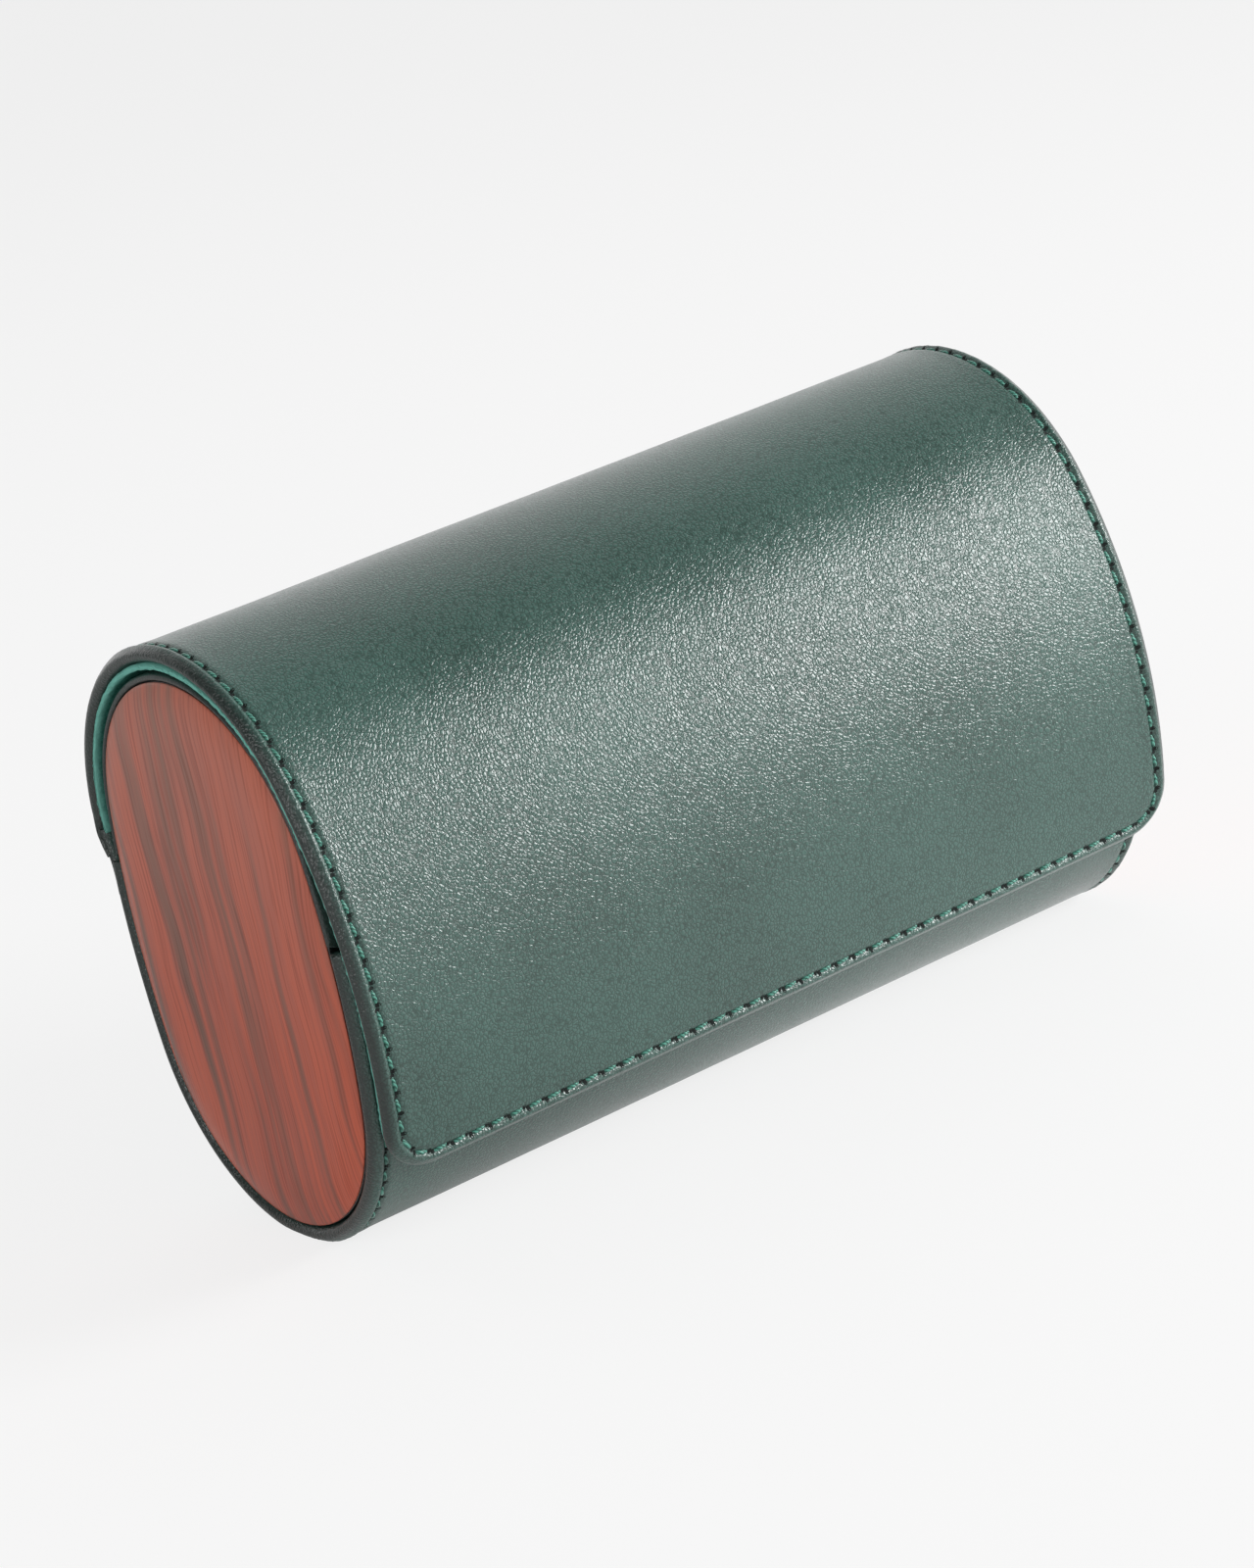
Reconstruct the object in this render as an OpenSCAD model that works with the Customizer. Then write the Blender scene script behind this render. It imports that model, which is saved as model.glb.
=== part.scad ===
// Oval watch display box: a leather tray with wooden end plates, a stiff
// wrap-over lid on a live hinge, and two lift-out cushions.
// X runs along the tube, +Y to the hinge, +Z up. The origin is the middle
// of the flat base.

/* [End plates] */
// Height of the oval end plate
plate_h = 85.6; // [76:0.1:92]
// Depth of the oval end plate
plate_d = 58.6; // [54:0.1:62]
// Radius of the plate's two round ends
plate_end_r = 28; // [25:0.1:28.5]
// Thickness of the black plate
plate_t = 1.8; // [1.2:0.1:3]
// How far the black plate stands back from the tray's ends
plate_set = 0.6; // [0:0.1:2]
// Rise of the wood face at its middle
face_rise = 1.2; // [0.6:0.1:2]
// Width of the soft roll-off round the wood face
face_roll = 6; // [3:0.5:10]

/* [Tube] */
// Length of the tray between its two rolled ends
tube_l = 149; // [120:0.5:200]
// Width of the flat stretch that the box stands on
base_w = 15; // [8:0.5:16]
// Height of the front lip above the middle of the plates
lip_z = 6; // [0:0.5:9]
// Clearance between the end plate and the tray round it
plate_gap = 0.1; // [0.05:0.05:0.3]

/* [Layers] */
// Thickness of the outer leather
leather_t = 1.1; // [0.8:0.05:1.3]
// Thickness of the tray's board
tray_board_t = 1.4; // [1.3:0.1:2]
// Thickness of the lid's board
lid_board_t = 1.1; // [0.9:0.05:1.3]
// Thickness of the suede lining
lining_t = 0.6; // [0.5:0.05:1]
// Thickness of each end wall's board
wall_t = 2.5; // [1.5:0.1:4]
// Thickness of the thin leather over the end walls
cover_t = 0.6; // [0.4:0.1:1]
// Height of the rim that the end cover makes round the plate
rim_w = 0.8; // [0.5:0.1:1.3]
// How far that rim stands back from the tray's ends
rim_set = 0.3; // [0:0.1:1]

/* [Lid] */
// How far the lid's ends stop short of the tray's ends
lid_inset = -0.3; // [-1:0.1:4]
// Least clearance between the lid's round top and the rims of the end walls
lid_gap = 0.35; // [0.3:0.05:1.2]
// Least distance by which the lid's round top stands out past the tray's skin
lid_over = 0.7; // [0.3:0.1:3]
// Radius of the lid's front
lid_front_r = 78; // [70:1:100]
// Radius of the lid's turn towards the hinge
lid_turn_r = 13.5; // [12.5:0.1:15]
// Direction in which the turn gives way to the round top
lid_turn_to = 8.5; // [0:0.5:12]
// Height of the lid's round top over the plates' round ends
lid_lift = 0.3; // [0.2:0.1:1]
// Offset of the round top's centre to the rear
lid_set = 1; // [0:0.1:1.2]
// Direction in which the round top gives way to the front
lid_front_from = 153; // [148:1:158]
// Distance of the lid's suede from the lid's edges
lining_in = 0.6; // [0.3:0.1:3]
// Depth of the free edge below the middle of the plates
lid_drop = 28.8; // [15:0.1:31]
// Radius of the lid's two free corners
lid_corner_r = 8; // [4:0.5:14]
// Width of the live hinge strip on the back of the tray
hinge_w = 4; // [2:0.5:8]
// Running clearance at the hinge line
hinge_gap = 0.35; // [0.2:0.05:0.6]

/* [Thread] */
// Distance of the stitch line from the leather's edge
stitch_in = 2.4; // [2:0.1:6]
// Width of the thread
thread_w = 0.6; // [0.3:0.1:1]
// Height of the thread over the leather
thread_h = 0.3; // [0.1:0.05:0.6]

/* [Magnets] */
// Radius of each closing magnet
magnet_r = 6; // [3:0.5:8]
// Thickness of each closing magnet
magnet_t = 0.7; // [0.4:0.1:0.8]
// Depth of the magnets below the middle of the plates
magnet_drop = 14; // [8:0.5:18]

/* [Cushions] */
// Depth of each cushion
cushion_d = 45; // [36:0.5:50]
// Height of the cushion's top above the middle of the plates
cushion_top = 24.5; // [10:0.5:26]
// Clearance between a cushion's end and the wall beside it
cushion_end_gap = 1.5; // [0.5:0.1:4]
// Clearance under a cushion
cushion_rest_gap = 0.3; // [0.2:0.05:0.5]
// Thickness of a cushion's cover
cushion_cover_t = 3; // [2:0.5:6]
// Bulge of a cushion's end panel
panel_t = 2; // [1:0.1:4]
// Share by which a cushion's cover draws in at its ends
draw_in = 0.07; // [0.02:0.01:0.15]
// Thickness of the divider's board
divider_t = 2; // [1:0.1:4]
// Height of the divider's top above the middle of the plates
divider_top = 14; // [8:0.5:18]

/* [Hidden] */

leather_colour = [0.22, 0.33, 0.29];
suede_colour = [0.20, 0.52, 0.43];
wood_colour = [0.60, 0.29, 0.22];
black_colour = [0.05, 0.05, 0.05];
thread_colour = [0.20, 0.50, 0.40];
board_colour = [0.62, 0.54, 0.42];
metal_colour = [0.70, 0.70, 0.72];
foam_colour = [0.85, 0.83, 0.75];

round_fn = 180;
edge_fn = 32;
far = 400;
// Sectors lap by this angle so that they join into one piece.
lap = 0.01;
skin_proud = plate_gap + tray_board_t + leather_t;

// The plate's oval: two side arcs and two end arcs, tangent where they meet.
half_h = plate_h / 2;
half_d = plate_d / 2;
// A round end is a fillet, so it stays inside the plate's depth.
end_r = min(plate_end_r, half_d - 0.3);
end_c = half_h - end_r;
side_r = (end_c * end_c + half_d * half_d - end_r * end_r) / (2 * (half_d - end_r));
side_c = side_r - half_d;
meet = atan2(end_c, side_c);
// Each arc is [centre y, centre z, radius, start angle, end angle].
OVAL = [
    [-side_c, 0, side_r, -meet, meet],
    [0, end_c, end_r, meet, 180 - meet],
    [side_c, 0, side_r, 180 - meet, 180 + meet],
    [0, -end_c, end_r, 180 + meet, 360 - meet]];

// The lid's outer skin: turn at the hinge, round top, then the front.
skin_r = side_r + skin_proud;
lid_t = leather_t + lid_board_t + lining_t;
// The round top lies off the plates' round ends by this, and comes nearest to
// the rims where it gives way to the front.
lid_shift = lid_set * cos(lid_front_from) + lid_lift * sin(lid_front_from);
lid_top_r = max(end_r + rim_w + lid_gap + lid_t - lid_shift,
    half_d + skin_proud + lid_over);
lid_rise = end_c + lid_lift;
turn_c = [lid_set + (lid_top_r - lid_turn_r) * cos(lid_turn_to),
    lid_rise + (lid_top_r - lid_turn_r) * sin(lid_turn_to)];
front_c = [lid_set + (lid_top_r - lid_front_r) * cos(lid_front_from),
    lid_rise + (lid_top_r - lid_front_r) * sin(lid_front_from)];
front_to = 180 + asin((lid_drop + front_c[1]) / (lid_front_r - 3 * leather_t)) + 3;
function lid_arcs(from) = [
    [turn_c[0], turn_c[1], lid_turn_r, from, lid_turn_to],
    [lid_set, lid_rise, lid_top_r, lid_turn_to, lid_front_from],
    [front_c[0], front_c[1], lid_front_r, lid_front_from, front_to]];
// The turn ends where it meets the tray's back skin, found in a few steps.
function skin_y(z) = sqrt(skin_r * skin_r - z * z) - side_c;
function tuck(n) = n == 0 ? 27
    : acos((skin_y(turn_c[1] - lid_turn_r * sin(tuck(n - 1))) - turn_c[0]) / lid_turn_r);
lid_tuck = tuck(6);
hinge_y = turn_c[0] + lid_turn_r * cos(lid_tuck);
hinge_z = turn_c[1] - lid_turn_r * sin(lid_tuck);
lid_l = tube_l - 2 * lid_inset;
hinge_l = tube_l - 2 * (tray_board_t + leather_t) - 2;
// The board and the suede stop above the hinge, which is leather alone.
board_from = -8;

// Heights under the middle of the plates.
bottom_r = end_r + skin_proud;
base_z = -end_c - sqrt(bottom_r * bottom_r - base_w * base_w / 4);
core_z = -base_z;
back_z = hinge_z - hinge_gap;

// Stations along the tube, measured inwards from the tray's end.
face_x = tube_l / 2 - plate_set;
cover_in = plate_set + plate_t;
wall_in = cover_in + cover_t;
suede_in = wall_in + wall_t;
room_in = suede_in + lining_t;
room_x = tube_l / 2 - room_in;

// The insides.
lining_off = plate_gap - lining_t;
floor_z = -half_h - lining_off;
divider_half = divider_t / 2 + lining_t;
cushion_l = room_x - divider_half - 2 * cushion_end_gap;
cushion_x = (room_x + divider_half) / 2;
cushion_low = floor_z + cushion_rest_gap;
cushion_h = cushion_top - cushion_low;
cushion_mid = (cushion_top + cushion_low) / 2;
cover_half = cushion_l / 2 - panel_t;
ring_n = 36;
band_n = 12;
panel_n = 4;
core_scale = 1 - 2 * cushion_cover_t / cushion_d - draw_in;

// Lifts the section's frame, whose origin is the middle of the plates.
module lift() { translate([0, 0, core_z]) children(); }

// Sweeps a profile along a chain of arcs. The profile's x is the distance
// outwards from the arc, and its y runs along the tube.
module sweep(arcs) {
    for (q = arcs)
        translate([0, q[0], q[1]]) rotate([90, 0, 90]) rotate([0, 0, q[3]])
            rotate_extrude(angle = q[4] - q[3] + lap, $fn = round_fn)
                translate([q[2], 0]) children();
}

// A layer's profile, from one offset to another.
module layer(low, high, length) {
    translate([low, -length / 2]) square([high - low, length]);
}

// The same with its two ends rolled over.
module rolled(low, high, length) {
    c = (high - low) * 0.3;
    e = length / 2;
    polygon([[low, c - e], [low + c, -e], [high - c, -e], [high, c - e],
        [high, e - c], [high - c, e], [low + c, e], [low, e - c]]);
}

module band(z0, z1) {
    translate([-far / 2, -far / 2, z0]) cube([far, far, z1 - z0]);
}

// One side of the box: the back is +1 and the front is -1.
module side(s) {
    translate([-far / 2, s > 0 ? 0 : -far, -far / 2]) cube([far, far, far]);
}

// Everything above the tray's top edges.
module above_tray(gap) {
    intersection() { side(1); band(back_z + gap, far / 2); }
    intersection() { side(-1); band(lip_z + gap, far / 2); }
}

// --- Tray ---

module tray_board() {
    color(board_colour) lift() difference() {
        sweep(OVAL) layer(plate_gap, plate_gap + tray_board_t,
            tube_l - 2 * (tray_board_t + leather_t));
        above_tray(0);
        band(-far / 2, base_z + leather_t);
        magnet_pocket_tray();
    }
}

module tray_leather() {
    color(leather_colour) lift() difference() {
        intersection() {
            sweep(OVAL) rolled(plate_gap, skin_proud, tube_l);
            band(base_z, far / 2);
        }
        difference() {
            sweep(OVAL) layer(plate_gap - 1, skin_proud - leather_t,
                tube_l - 2 * (tray_board_t + leather_t));
            band(-far / 2, base_z + leather_t);
        }
        above_tray(0);
        intersection() {
            side(1);
            band(back_z - hinge_w, far / 2);
            translate([-hinge_l / 2, -far / 2, -far / 2]) cube([hinge_l, far, far]);
        }
    }
}

module hinge_strip() {
    color(leather_colour) lift() intersection() {
        sweep([OVAL[0]]) layer(skin_proud - leather_t, skin_proud, hinge_l);
        band(back_z - hinge_w, back_z);
    }
}

module tray_lining() {
    color(suede_colour) lift() difference() {
        sweep(OVAL) layer(lining_off, plate_gap, 2 * room_x);
        above_tray(0);
    }
}

// A rolled leather edge on top of the front wall.
module lip_roll() {
    low = lining_off;
    r = (skin_proud - low) / 2;
    wall_y = -half_d - low - r;
    color(leather_colour) lift() intersection() {
        translate([-tube_l / 2 + room_in, wall_y + 0.1, lip_z]) rotate([0, 90, 0])
            cylinder(r = r, h = 2 * room_x, $fn = edge_fn);
        band(lip_z, far / 2);
    }
}

module tray_thread(s) {
    color(thread_colour) lift() difference() {
        sweep(OVAL) translate([skin_proud, s * (tube_l / 2 - stitch_in) - thread_w / 2])
            square([thread_h, thread_w]);
        above_tray(-thread_h);
        band(-far / 2, base_z + 2 * thread_h);
    }
}

// Places a magnet or its pocket square to the front wall, at a given depth
// below the skin of an arc whose front point is at magnet_drop.
module at_front(centre, skin, depth) {
    turn = asin((magnet_drop + centre[1]) / skin);
    translate([0, centre[0], centre[1]]) rotate([turn, 0, 0])
        translate([0, -(skin - depth), 0]) rotate([-90, 0, 0]) children();
}

tray_magnet_depth = leather_t + (tray_board_t - magnet_t) / 2;
lid_magnet_depth = leather_t + (lid_board_t + 0.1 - magnet_t) / 2 + 0.1;

module magnet_pocket_tray() {
    at_front([side_c, 0], skin_r, leather_t - 1)
        cylinder(r = magnet_r, h = tray_board_t + 2, $fn = round_fn);
}

module tray_magnet() {
    color(metal_colour) lift() at_front([side_c, 0], skin_r, tray_magnet_depth)
        cylinder(r = magnet_r, h = magnet_t, $fn = round_fn);
}

// --- Ends. Each is drawn for the right and mirrored for the left. ---

module at_end(s) { mirror([s < 0 ? 1 : 0, 0, 0]) children(); }

function arc_point(q, angle, off) = [q[0] + (q[2] + off) * cos(angle),
    q[1] + (q[2] + off) * sin(angle)];

// A filled oval between two distances in from the tray's end. Its rim is
// swept, and a plain core fills the middle.
module oval_plate(off, from, to) {
    rim = 8;
    core_pts = [for (q = OVAL) for (i = [0 : 5])
        arc_point(q, q[3] + (q[4] - q[3]) * i / 6, off - rim / 2)];
    sweep(OVAL) translate([off - rim, tube_l / 2 - to]) square([rim, to - from]);
    translate([tube_l / 2 - to, 0, 0]) rotate([90, 0, 90])
        linear_extrude(height = to - from) polygon(core_pts);
}

module end_wall(s) {
    color(board_colour) lift() at_end(s) oval_plate(0, wall_in, suede_in);
}

// Thin leather over the wall's face. Where no tray is, it goes over the wall's
// edge and stands round the plate as a rim.
module end_cover(s) {
    color(leather_colour) lift() at_end(s) {
        oval_plate(0, cover_in, wall_in);
        intersection() {
            sweep(OVAL) translate([0, tube_l / 2 - room_in])
                square([rim_w, room_in - rim_set]);
            above_tray(0.2);
        }
    }
}

module end_lining(s) {
    color(suede_colour) lift() at_end(s) oval_plate(0, suede_in, room_in);
}

module end_plate(s) {
    color(black_colour) lift() at_end(s) oval_plate(0, plate_set, cover_in);
}

// The wood face's profile: flat at the middle, rolling off to a thin land.
module face_profile(rim) {
    land = 0.25;
    h = face_rise - land;
    r = (face_roll * face_roll + h * h) / (2 * h);
    to = asin(face_roll / r);
    polygon(concat([[-rim, 0], [-rim, face_rise]],
        [for (i = [0 : 4]) let (v = to * i / 4)
            [r * sin(v) - face_roll, face_rise - r + r * cos(v)]],
        [[0, 0]]));
}

module wood_face(s) {
    rim = 8;
    core_pts = [for (q = OVAL) for (i = [0 : 5])
        arc_point(q, q[3] + (q[4] - q[3]) * i / 6, -(rim + face_roll) / 2)];
    color(wood_colour) lift() at_end(s) {
        sweep(OVAL) translate([0, face_x]) face_profile(rim);
        translate([face_x, 0, 0]) rotate([90, 0, 90])
            linear_extrude(height = face_rise) polygon(core_pts);
    }
}

// --- Divider ---

module divider_slice(from, thick) {
    r = 8;
    lift() intersection() {
        oval_slice(lining_off, from, thick);
        union() {
            band(-far / 2, divider_top - r);
            translate([-far / 2, r - half_d, 0])
                cube([far, 2 * (half_d - r), divider_top]);
            for (s = [-1, 1])
                translate([-far / 2, s * (half_d - r), divider_top - r])
                    rotate([0, 90, 0]) cylinder(r = r, h = far, $fn = edge_fn * 2);
        }
    }
}

module oval_slice(off, from, thick) {
    translate([from + thick - tube_l / 2, 0, 0]) oval_plate(off, 0, thick);
}

module divider_board() {
    color(board_colour) divider_slice(-divider_t / 2, divider_t);
}

module divider_suede(s) {
    color(suede_colour)
        divider_slice(s > 0 ? divider_t / 2 : -divider_half, lining_t);
}

// --- Lid ---

// The lid's developed outline seen from the front, drawn in by a margin.
module lid_outline(inset) {
    r = lid_corner_r - inset;
    w = lid_l / 2 - inset;
    low = inset - lid_drop;
    translate([0, far / 2, 0]) rotate([90, 0, 0]) linear_extrude(height = far) {
        translate([-w, low + r]) square([2 * w, far / 2]);
        translate([-w + r, low]) square([2 * (w - r), 2 * r]);
        for (s = [-1, 1]) translate([s * (w - r), low + r]) circle(r = r, $fn = 64);
    }
}

edge_fold = leather_t + lid_board_t;

module lid_board() {
    color(board_colour) lift() difference() {
        intersection() {
            sweep(lid_arcs(board_from)) layer(-edge_fold, -leather_t, lid_l);
            lid_outline(edge_fold);
        }
        magnet_pocket_lid();
    }
}

module lid_leather() {
    color(leather_colour) lift() difference() {
        intersection() {
            union() {
                sweep(lid_arcs(-lid_tuck)) layer(-leather_t, 0, lid_l + 4);
                sweep(lid_arcs(board_from)) layer(-edge_fold, -leather_t / 2, lid_l + 4);
            }
            lid_outline(0);
        }
        intersection() {
            sweep(lid_arcs(-lid_tuck)) layer(-edge_fold - 1, -leather_t, lid_l);
            lid_outline(edge_fold);
        }
    }
}

module lid_lining() {
    color(suede_colour) lift() intersection() {
        sweep(lid_arcs(board_from)) layer(-lid_t, -edge_fold, lid_l);
        lid_outline(lining_in);
    }
}

module lid_thread() {
    color(thread_colour) lift() intersection() {
        sweep(lid_arcs(-lid_tuck + 4)) layer(0, thread_h, lid_l);
        difference() {
            lid_outline(stitch_in - thread_w / 2);
            lid_outline(stitch_in + thread_w / 2);
        }
    }
}

module magnet_pocket_lid() {
    at_front(front_c, lid_front_r, leather_t - 1)
        cylinder(r = magnet_r, h = lid_board_t + 2, $fn = round_fn);
}

module lid_magnet() {
    color(metal_colour) lift() at_front(front_c, lid_front_r, lid_magnet_depth)
        cylinder(r = magnet_r, h = magnet_t, $fn = round_fn);
}

// --- Cushions ---

// One ring of a cushion at a station along the tube.
function ring(x, share) = [for (i = [0 : ring_n - 1])
    let (a = 360 * i / ring_n)
    [x, share * cushion_d / 2 * cos(a),
        cushion_mid + share * cushion_h / 2 * sin(a)]];

// Walls between rings, and flat fans over the first and the last ring.
function walls(n) = [for (j = [0 : n - 1]) for (i = [0 : ring_n - 1])
    let (k = (i + 1) % ring_n, p = j * ring_n, q = p + ring_n)
    each [[p + i, q + i, p + k], [p + k, q + i, q + k]]];
function fan(first, flip) = [for (i = [1 : ring_n - 2])
    flip ? [first, first + i + 1, first + i] : [first, first + i, first + i + 1]];

module loft(rings) {
    n = len(rings) - 1;
    polyhedron(points = [for (r = rings) each r],
        faces = concat(walls(n), fan(0, false), fan(n * ring_n, true)));
}

// The crown: full at the middle and drawn in towards both ends.
function crown(u) = 1 - draw_in * pow(abs(u), 2.5);

module core_prism(length) {
    pts = [for (p = ring(0, core_scale)) [p[1], p[2]]];
    translate([-length / 2, 0, 0]) rotate([90, 0, 90])
        linear_extrude(height = length) polygon(pts);
}

module at_cushion(s) { lift() translate([s * cushion_x, 0, 0]) children(); }

module cushion_cover(s) {
    color(suede_colour) at_cushion(s) difference() {
        loft([for (j = [0 : band_n])
            let (u = 2 * j / band_n - 1) ring(u * cover_half, crown(u))]);
        core_prism(2 * cover_half - 2 * cushion_cover_t);
    }
}

module cushion_core(s) {
    color(foam_colour) at_cushion(s)
        core_prism(2 * cover_half - 2 * cushion_cover_t);
}

// A crowned panel sewn over each end of the cushion.
module cushion_panels(s) {
    color(suede_colour) at_cushion(s) for (m = [0, 1]) mirror([m, 0, 0])
        loft([for (j = [0 : panel_n])
            let (v = 80 * j / panel_n)
            ring(cover_half + panel_t * sin(v), crown(1) * (0.35 + 0.65 * cos(v)))]);
}

tray_board();
tray_leather();
tray_lining();
lip_roll();
hinge_strip();
tray_thread(-1);  // tray_thread_left
tray_thread(1);  // tray_thread_right
tray_magnet();
end_wall(-1);  // end_wall_left
end_wall(1);  // end_wall_right
end_cover(-1);  // end_cover_left
end_cover(1);  // end_cover_right
end_lining(-1);  // end_lining_left
end_lining(1);  // end_lining_right
end_plate(-1);  // end_plate_left
end_plate(1);  // end_plate_right
wood_face(-1);  // wood_face_left
wood_face(1);  // wood_face_right
divider_board();
divider_suede(-1);  // divider_suede_left
divider_suede(1);  // divider_suede_right
lid_board();
lid_leather();
lid_lining();
lid_thread();
lid_magnet();
cushion_cover(-1);  // cushion_cover_left
cushion_cover(1);  // cushion_cover_right
cushion_core(-1);  // cushion_core_left
cushion_core(1);  // cushion_core_right
cushion_panels(-1);  // cushion_panels_left
cushion_panels(1);  // cushion_panels_right
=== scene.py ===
"""The looks of the oval watch display box: leather skins with rolled edges and
stitches, suede, wood end faces and cushions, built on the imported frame.

Sections are drawn in millimetres in the plane (y, z), with z = 0 at the middle
of the end plates. `place` lifts them into the row frame, in metres.
"""

import math
import random

import bmesh
import bpy
from mathutils import Matrix, Vector, noise
from mathutils.bvhtree import BVHTree


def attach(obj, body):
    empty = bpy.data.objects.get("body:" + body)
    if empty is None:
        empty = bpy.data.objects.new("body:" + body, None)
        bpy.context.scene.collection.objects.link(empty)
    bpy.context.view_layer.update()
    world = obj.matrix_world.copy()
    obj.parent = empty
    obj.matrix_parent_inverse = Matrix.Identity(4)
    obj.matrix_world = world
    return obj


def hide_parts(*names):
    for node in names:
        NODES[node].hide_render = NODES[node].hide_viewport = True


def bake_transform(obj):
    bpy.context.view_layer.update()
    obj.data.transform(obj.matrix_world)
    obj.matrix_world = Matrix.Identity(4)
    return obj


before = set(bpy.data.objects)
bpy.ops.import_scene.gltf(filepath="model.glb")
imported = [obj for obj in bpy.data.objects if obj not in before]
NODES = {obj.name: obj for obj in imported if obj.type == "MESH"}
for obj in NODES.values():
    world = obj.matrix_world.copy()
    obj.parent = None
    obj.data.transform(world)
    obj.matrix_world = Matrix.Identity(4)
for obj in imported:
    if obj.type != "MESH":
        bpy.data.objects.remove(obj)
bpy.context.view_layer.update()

# ---------------------------------------------------------------- sizes, mm
MM = 0.001
TUBE_L = 149.0
LID_L = 149.6
HALF_H, HALF_D, END_R = 42.8, 29.3, 28.0
PLATE_SET, PLATE_T = 0.6, 1.8   # the black plate stands back from the tray's end
RIM_SET, ROOM_IN = 0.3, 6.1     # the rims' front and back, in from the tray's end
SKIN = 2.6                      # the outer skin stands this far over the plate's outline
WALL_IN = 0.1                   # and the inner side of the tray's wall this far
CORE_Z = 44.4666                # height of the plates' middle over the floor
BASE_Z = -CORE_Z
LIP_Z, BACK_Z = 6.0, 10.3695
LID_TUCK, LID_TURN_R, LID_TOP_R, LID_FRONT_R = 32.327, 13.5, 32.705, 78.0
TURN_TO, TOP_TO = 8.5, 153      # directions where the lid's arcs meet
LID_C = (1.0, 15.1)
LID_DROP, LID_CORNER = 28.8, 8.0
LEATHER_T = 1.1                 # bare leather at the hinge
LID_BODY, TURN_IN = 2.2, 0.8    # leather and board of the lid, and more of it behind
EDGE_ROLL = 1.6                 # width over which a leather edge rolls down
SEAM_IN = 2.4                   # stitch line from the edge
STITCH_PITCH, STITCH_L = 3.4, 2.6
THREAD_R = 0.34
HOLE_ALONG, HOLE_ACROSS = 0.34, 0.5


# ---------------------------------------------------------------- sections
END_C = HALF_H - END_R
SIDE_R = (END_C**2 + HALF_D**2 - END_R**2) / (2 * (HALF_D - END_R))
SIDE_C = SIDE_R - HALF_D
MEET = math.degrees(math.atan2(END_C, SIDE_C))
# Arcs are (centre y, centre z, radius, from, to), in degrees from +Y to +Z.
OVAL = [
    (-SIDE_C, 0, SIDE_R, -MEET, MEET),
    (0, END_C, END_R, MEET, 180 - MEET),
    (SIDE_C, 0, SIDE_R, 180 - MEET, 180 + MEET),
    (0, -END_C, END_R, 180 + MEET, 360 - MEET),
]


def polar(centre, radius, angle):
    a = math.radians(angle)
    return (centre[0] + radius * math.cos(a), centre[1] + radius * math.sin(a))


TURN_C = polar(LID_C, LID_TOP_R - LID_TURN_R, TURN_TO)
FRONT_C = polar(LID_C, LID_TOP_R - LID_FRONT_R, TOP_TO)
FRONT_TO = 180 + math.degrees(math.asin((LID_DROP + FRONT_C[1]) / LID_FRONT_R))
LID = [
    (*TURN_C, LID_TURN_R, -LID_TUCK, TURN_TO),
    (*LID_C, LID_TOP_R, TURN_TO, TOP_TO),
    (*FRONT_C, LID_FRONT_R, TOP_TO, FRONT_TO),
]


class Path:
    """A chain of tangent arcs, offset outwards, read by distance along it."""

    def __init__(self, arcs, offset=0.0):
        self.arcs = [(c, d, r + offset, a, b) for c, d, r, a, b in arcs]
        self.ends = [0.0]
        for _, _, r, a, b in self.arcs:
            self.ends.append(self.ends[-1] + r * math.radians(b - a))
        self.length = self.ends[-1]

    def at(self, s):
        """The point and its outward normal, as (y, z) pairs."""
        i = 0
        while i < len(self.arcs) - 1 and s > self.ends[i + 1]:
            i += 1
        c, d, r, a, _ = self.arcs[i]
        turn = math.radians(a) + (s - self.ends[i]) / r
        n = (math.cos(turn), math.sin(turn))
        return (c + r * n[0], d + r * n[1]), n

    def where(self, test, start=0.0, step=0.05):
        """The first distance from start on at which test(y, z) is true."""
        s = start
        while s < self.length and not test(*self.at(s)[0]):
            s += step
        return s


def place(x, point, normal=(0, 0), h=0.0):
    """A vertex in the row frame, in metres, raised by h along the normal."""
    return Vector(
        (x * MM, (point[0] + normal[0] * h) * MM, (point[1] + normal[1] * h + CORE_Z) * MM)
    )


def new_object(name, verts, faces, materials):
    """A smooth-shaded object in the scene."""
    mesh = bpy.data.meshes.new(name)
    mesh.from_pydata([tuple(v) for v in verts], [], faces)
    mesh.validate()
    for material in materials:
        mesh.materials.append(material)
    mesh.shade_smooth()
    piece = bpy.data.objects.new(name, mesh)
    bpy.context.scene.collection.objects.link(piece)
    return piece


def outward(piece, merge=0.0):
    """Turns a mesh's faces outwards, once vertices nearer than merge are joined."""
    mesh = bmesh.new()
    mesh.from_mesh(piece.data)
    if merge:
        bmesh.ops.remove_doubles(mesh, verts=mesh.verts, dist=merge)
    bmesh.ops.recalc_face_normals(mesh, faces=mesh.faces)
    mesh.to_mesh(piece.data)
    mesh.free()
    return piece


def wave(x, y, z, size, seed=0.0):
    """Smooth noise from -1 to 1 with features of about that size, in mm."""
    return noise.noise(Vector((x / size + seed, y / size - seed, z / size + 0.5 * seed)))


def bell(x, width):
    """A bump of height 1 at 0 that has nearly died away at twice its width."""
    return math.exp(-((x / width) ** 2))


# ---------------------------------------------------------------- materials
def rgb(r, g, b):
    """An sRGB colour from 0 to 255 as the linear colour that nodes take."""
    def lin(c):
        c /= 255
        return c / 12.92 if c <= 0.04045 else ((c + 0.055) / 1.055) ** 2.4
    return (lin(r), lin(g), lin(b), 1.0)


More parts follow.
